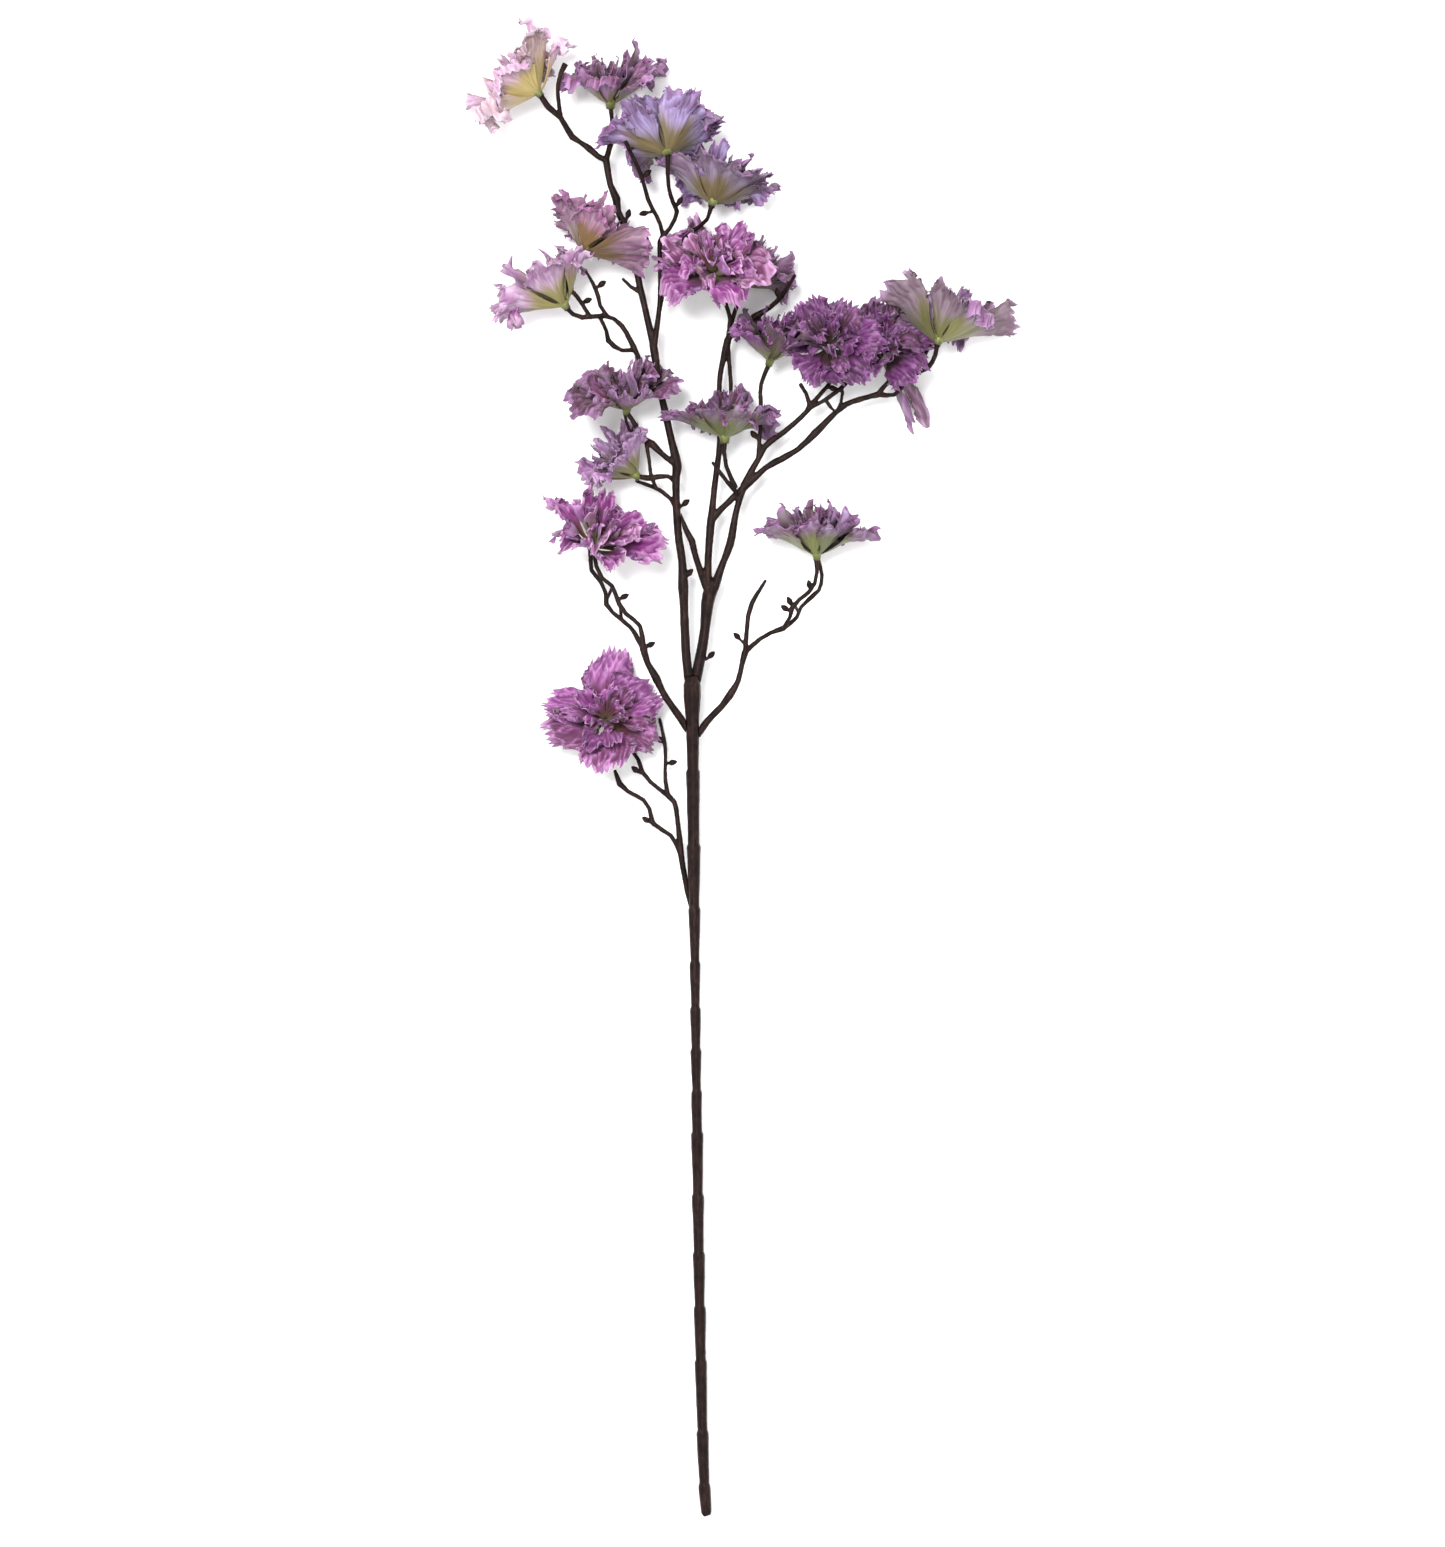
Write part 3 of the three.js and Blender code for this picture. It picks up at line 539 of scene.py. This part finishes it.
def dye_and_painted_light_at(u, v, crease, gathered, petal, cloth):
    """The colour on a petal's face and on its back, from the green claw at its root to the pale edge, with a
    painted highlight on the crests of the creases and painted shade in their hollows.
    """
    claw, throat, limb, edge, back_claw, back_limb = cloth["colours"]
    stain = v + STAIN_WANDER * noise.noise(Vector((3 * u, 3 * v, 7)) + cloth["seed"])
    # the pale edge is dye; the crest term is a painted highlight that lightens the crests of the creases
    pale_edge_and_highlight = EDGE_LIGHT * smooth_step(*PALE_EDGE, stain) + petal["painted_crest_highlight"] * crease * crease * gathered
    face = blend(claw, throat, smooth_step(*THROAT, stain))
    stained, greened = cloth["stained"], cloth["greened"]
    face = blend(face, limb, smooth_step(stained - FACE_BORDER, stained + FACE_BORDER, stain))
    face = blend(face, edge, pale_edge_and_highlight)
    ribbed = stain - RIB_LENGTH * abs(u) + RIB_START
    back = blend(back_claw, back_limb, smooth_step(greened - BACK_BORDER, greened + BACK_BORDER, ribbed))
    # painted shade: in the hollows of the creases the back is blended towards the darker limb colour
    back = blend(back, limb, BACK_HOLLOW_SHADE * (1 - crease) * gathered)
    back = blend(back, edge, BACK_EDGE_LIGHT * smooth_step(*PALE_BACK_EDGE, stain))
    # painted shade: every colour is darkened in the hollows of the creases and lifted on the crests
    shade = cloth["tone"] * (CREST_SHADE - HOLLOW_SHADE * (1 - crease) * gathered)
    return [(*(min(1.0, shade * part) for part in colour), 1) for colour in (face, back)]


def lay_petal(bm, layers, draw, dyes, petal):
    """Adds one petal to a ring. It starts as a flat grid, columns across and rows along, and is then formed."""
    columns, rows = petal["columns"], petal["rows"]
    flat = bmesh.ops.create_grid(bm, x_segments=columns, y_segments=rows, size=1)["verts"]
    root, out, across, up = petal["root"], petal["out"], petal["across"], petal["up"]
    reach, rise, half_width = petal["reach"], petal["rise"], petal["half_width"]
    phase = [draw.uniform(0, FULL_TURN) for _ in range(3)]
    curl = draw.uniform(*CURLS) * petal["curl"]
    droop = draw.uniform(*DROOPS) * petal["droop"]
    lean = draw.uniform(*LEANS)
    taper = draw.uniform(*TAPERS)
    fold = draw.uniform(*FOLDS) * petal["curl"]
    lip = petal["lip"] * draw.choice(LIPS)
    cloth = {
        "stained": petal["stain"] + draw.uniform(*STAIN_SHIFTS),
        "greened": petal["green"] + draw.uniform(*GREEN_SHIFTS),
    }
    twist = draw.uniform(*TWISTS) * petal["curl"]
    seed = Vector((draw.uniform(0, 90), draw.uniform(0, 90), draw.uniform(0, 90)))
    cuts = pinked_edge(columns, draw)
    side_cuts = pinked_edge(2 * rows + 1, draw)
    strength, claw, throat, limb, edge, back_claw, back_limb = petal.get("dyes", dyes)
    if draw.random() < GREENER_CHANCE:
        limb = blend(limb, claw, 0.4)
        back_limb = blend(back_limb, back_claw, 0.5)
    cloth["seed"] = seed
    cloth["tone"] = strength * draw.uniform(*TONES)
    cloth["colours"] = (claw, throat, limb, edge, back_claw, back_limb)
    places = {}
    for vert in flat:
        u, v = vert.co.x, 1 - (1 - (vert.co.y + 1) / 2) ** CLOSER_ROWS
        column, row = round((u + 1) / 2 * columns), round((vert.co.y + 1) / 2 * rows)
        gathered = smooth_step(GATHER_FROM, GATHER_TO, v)

        width = petal["claw"] + half_width * smooth_step(petal["fan"], FULL_WIDTH_AT, v)
        side = u * width * (1 - taper * smooth_step(TAPER_FROM, 1.0, v))
        if abs(u) > 0.9 and v > SIDE_TEETH_FROM:
            side -= math.copysign(petal["tooth"] * side_cuts[row + (0 if u > 0 else rows)], u)

        scallop = 0.5 + 0.5 * math.cos(FINE_WAVE * u + phase[2])
        along = reach * v * (1 - END_ROUNDING * abs(u) ** END_CURVE * v)
        cut = petal["tooth"] * cuts[column] + SCALLOP_DEPTH * reach * scallop
        along -= cut * smooth_step(EDGE_TEETH_FROM, 1.0, v)
        lip_pull = LIP_PULL * lip * reach * smooth_step(LIP_PULL_FROM, 1.0, v)
        along -= END_ARC * side * side / max(reach * 0.5, along) + lip_pull

        ruffle = BROAD_HEIGHT * math.sin(BROAD_WAVE * u + phase[0])
        ruffle += FINE_HEIGHT * v * math.sin(FINE_WAVE * u + phase[1])
        ruffle += CRUMPLE_HEIGHT * noise.noise(Vector((2.0 * u, 2.2 * v, 0)) + seed)
        crease_size = petal["crease_size"]
        folds = Vector((side / crease_size, CREASE_STRETCH * along / crease_size, 0)) + seed
        crease = 1 - min(1.0, CREASE_SHARPNESS * abs(noise.noise(folds)))
        height = rise * math.sin(math.pi / 2 * v) ** RISE_CURVE
        height += petal["ruffle"] * ruffle * smooth_step(0.2, 1.0, v)
        height += petal["crease_rise"] * (crease - 0.4) * gathered
        curled = curl * CURL_LIFT * u * u * v
        height += reach * (curled - droop * DROOP_FALL * v**4 + twist * u * v * v * TWIST_LIFT)
        rolled = LIP_ROLL * lip * smooth_step(LIP_FROM, 1.0, v) ** 1.5
        height += reach * (FOLD_LIFT * fold * abs(u) * v * (1 - 0.4 * v) - rolled)
        side += lean * along * v

        point = root + out * along + across * side + up * height
        point = clear_of_stems(point, CLEAR_OF_TWIGS)
        point.z = max(point.z, lowest.z + ABOVE_TABLE + 0.2 * MM * (column % 2))
        vert.co = point
        # these colours carry the dye with its painted highlight on the crests and painted shade in the hollows
        vert[layers["dye_and_painted_light"]], vert[layers["back_dye_and_painted_light"]] = dye_and_painted_light_at(u, v, crease, gathered, petal, cloth)
        places[vert] = ((u + 1) / 2 + seed.x, v + seed.y)
    for vert in flat:
        for loop in vert.link_loops:
            loop[layers["uv"]].uv = places[vert]


def petal_ring(name, petals, dyes, draw):
    """A whole ring of petals as one piece, with the thickness of the cloth."""
    bm = bmesh.new()
    # the two colour attributes hold the dye together with painted highlights and painted shade
    layers = {
        "dye_and_painted_light": bm.verts.layers.float_color.new("dye_and_painted_light"),
        "back_dye_and_painted_light": bm.verts.layers.float_color.new("back_dye_and_painted_light"),
        "uv": bm.loops.layers.uv.new("petal"),
    }
    for petal in petals:
        lay_petal(bm, layers, draw, dyes, petal)
    mesh = bpy.data.meshes.new(name)
    bm.normal_update()
    bm.to_mesh(mesh)
    bm.free()
    mesh.shade_smooth()
    mesh.materials.append(petal_face)
    mesh.materials.append(petal_back)
    ring = bpy.data.objects.new(name, mesh)
    bpy.context.scene.collection.objects.link(ring)
    cloth = ring.modifiers.new("cloth", "SOLIDIFY")
    cloth.thickness = PETAL_THICKNESS
    cloth.offset = -1
    cloth.material_offset = 1
    return ring


def reach_towards(points, stand, root, angle):
    """How far a ring of the CAD reaches from the axis at an angle, and how high its edge stands there."""
    found = []
    for point in points:
        rise = (point - root).dot(stand["axis"])
        flat = point - root - stand["axis"] * rise
        turn = math.atan2(flat.dot(stand["deep"]), flat.dot(stand["side"]))
        apart = abs((turn - angle + math.pi) % (2 * math.pi) - math.pi)
        if apart < REACH_SECTOR:
            found.append((flat.length, rise))
    found.sort(reverse=True)
    edge = found[: max(1, len(found) // 4)]
    return found[0][0], sum(rise for _, rise in edge) / len(edge)


def dyes_named(name):
    strength, *codes = DYES[name]
    return [strength, *(paint(code) for code in codes)]


dyes_of = {place: dyes_named(DYE_OF[place]) for place in PLACES}

for place in PLACES:
    stand = stands[place]
    draw = random.Random("outer " + place)
    node = "petals_" + place
    points = node_points(node)
    root = stand["foot"] + stand["axis"] * 0.6 * stand["length"]
    petals = []
    start = draw.uniform(0, 2 * math.pi)
    for k in range(OUTER_COUNT):
        angle = start + 2 * math.pi * (k + draw.uniform(-0.16, 0.16)) / OUTER_COUNT
        reach, rise = reach_towards(points, stand, root, angle)
        reach *= SPREAD.get(place, 1) * draw.uniform(0.98, 1.2)
        out = stand["side"] * math.cos(angle) + stand["deep"] * math.sin(angle)
        cupped = place in FLAT and out.z > 0.2
        if place in FLAT:
            rise *= 0.6 + 0.7 * abs(out.z)
        petals.append({
            "columns": 40, "rows": 22, "fan": draw.uniform(-0.12, 0.08), "claw": CLAW_WIDTH,
            "root": root + out * CLAW_RING + stand["axis"] * 0.12 * MM * k,
            "out": out, "across": out.cross(stand["axis"]), "up": stand["axis"],
            "reach": reach - CLAW_RING, "rise": rise + draw.uniform(-2.5, 2) * MM,
            "half_width": NARROW.get(place, 1) * draw.choice((0.34, 0.4, 0.46, 0.5)) * reach,
            "tooth": 0.125 * reach,
            "ruffle": (0.05 if cupped else 0.095) * reach, "curl": 0.5 if cupped else 1.0,
            "droop": 0.2 if cupped else 1.0, "lip": 0.4 if cupped else 1.0, "stain": 0.36,
            "green": 0.6 if place in FLAT else 0.44,
            # the crest value sets how strongly a painted highlight lightens the crests of the creases
            "crease_size": 2.6 * MM, "crease_rise": 2.0 * MM, "painted_crest_highlight": 0.8,
        })
    for lean, width in HANGING.get(place, ()):
        along_hang = Vector(lean)
        rise = along_hang.dot(stand["axis"])
        flat_hang = along_hang - stand["axis"] * rise
        out = flat_hang.normalized()
        petals.append({
            "columns": 14, "rows": 26, "fan": 0.35, "claw": CLAW_WIDTH, "root": root + out * CLAW_RING,
            "out": out, "across": out.cross(stand["axis"]), "up": stand["axis"],
            "reach": flat_hang.length, "rise": rise, "half_width": width, "tooth": 1.4 * MM,
            "ruffle": 2.6 * MM, "curl": 1.6, "droop": 1.4, "lip": 0.8, "stain": 0.3, "green": 0.3,
            # the crest value sets how strongly a painted highlight lightens the crests of the creases
            "crease_size": 2.8 * MM, "crease_rise": 0.8 * MM, "painted_crest_highlight": 0.9,
            "dyes": dyes_named(HANGING_DYE),
        })
    ring = petal_ring("outer_petals_" + place, petals, dyes_of[place], draw)
    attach(ring, "root")
    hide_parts(node)

# ---- Inner petals ----
# A tuft of smaller petals fills each throat: eight narrow ones, most of them shorter than the outer ones,
# round a ragged heart of curled strips. All are the same thin cloth, gathered and glued in the calyx.
INNER_COUNT = 8
STRIP_COUNT = 13

for place in PLACES:
    stand = stands[place]
    draw = random.Random("inner " + place)
    node = "inner_petals_" + place
    outer = node_points("petals_" + place)
    root = stand["foot"] + stand["axis"] * 0.8 * stand["length"]
    start = draw.uniform(0, 2 * math.pi)
    petals = []
    for k in range(INNER_COUNT + STRIP_COUNT):
        strip = k >= INNER_COUNT
        count = STRIP_COUNT if strip else INNER_COUNT
        angle = start + 2 * math.pi * (k + draw.uniform(-0.3, 0.3)) / count
        reach, rise = reach_towards(outer, stand, root, angle)
        share = draw.uniform(0.26, 0.56) if strip else draw.uniform(0.6, 0.98)
        out = stand["side"] * math.cos(angle) + stand["deep"] * math.sin(angle)
        petals.append({
            "columns": 10 if strip else 26, "rows": 10 if strip else 16, "fan": 0.3,
            "claw": 0.7 * MM, "root": root + out * 0.4 * CLAW_RING + stand["axis"] * 0.1 * MM * k,
            "out": out, "across": out.cross(stand["axis"]), "up": stand["axis"],
            "reach": share * reach,
            "rise": (draw.uniform(0.6, 1.25) if strip else 0.9) * rise + draw.uniform(0.5, 5) * MM,
            "half_width": draw.uniform(0.07, 0.13) * reach if strip else draw.uniform(0.17, 0.28) * reach,
            "tooth": 0.09 * reach, "ruffle": 0.085 * reach, "curl": 1.8, "droop": 1.6, "lip": 0.8,
            "stain": 0.5 if strip else 0.42, "green": 0.5,
            # the crest value sets how strongly a painted highlight lightens the crests of the creases
            "crease_size": 2.0 * MM, "crease_rise": 1.3 * MM, "painted_crest_highlight": 0.85,
        })
    ring = petal_ring("inner_tuft_" + place, petals, dyes_of[place], draw)
    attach(ring, "root")
    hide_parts(node)
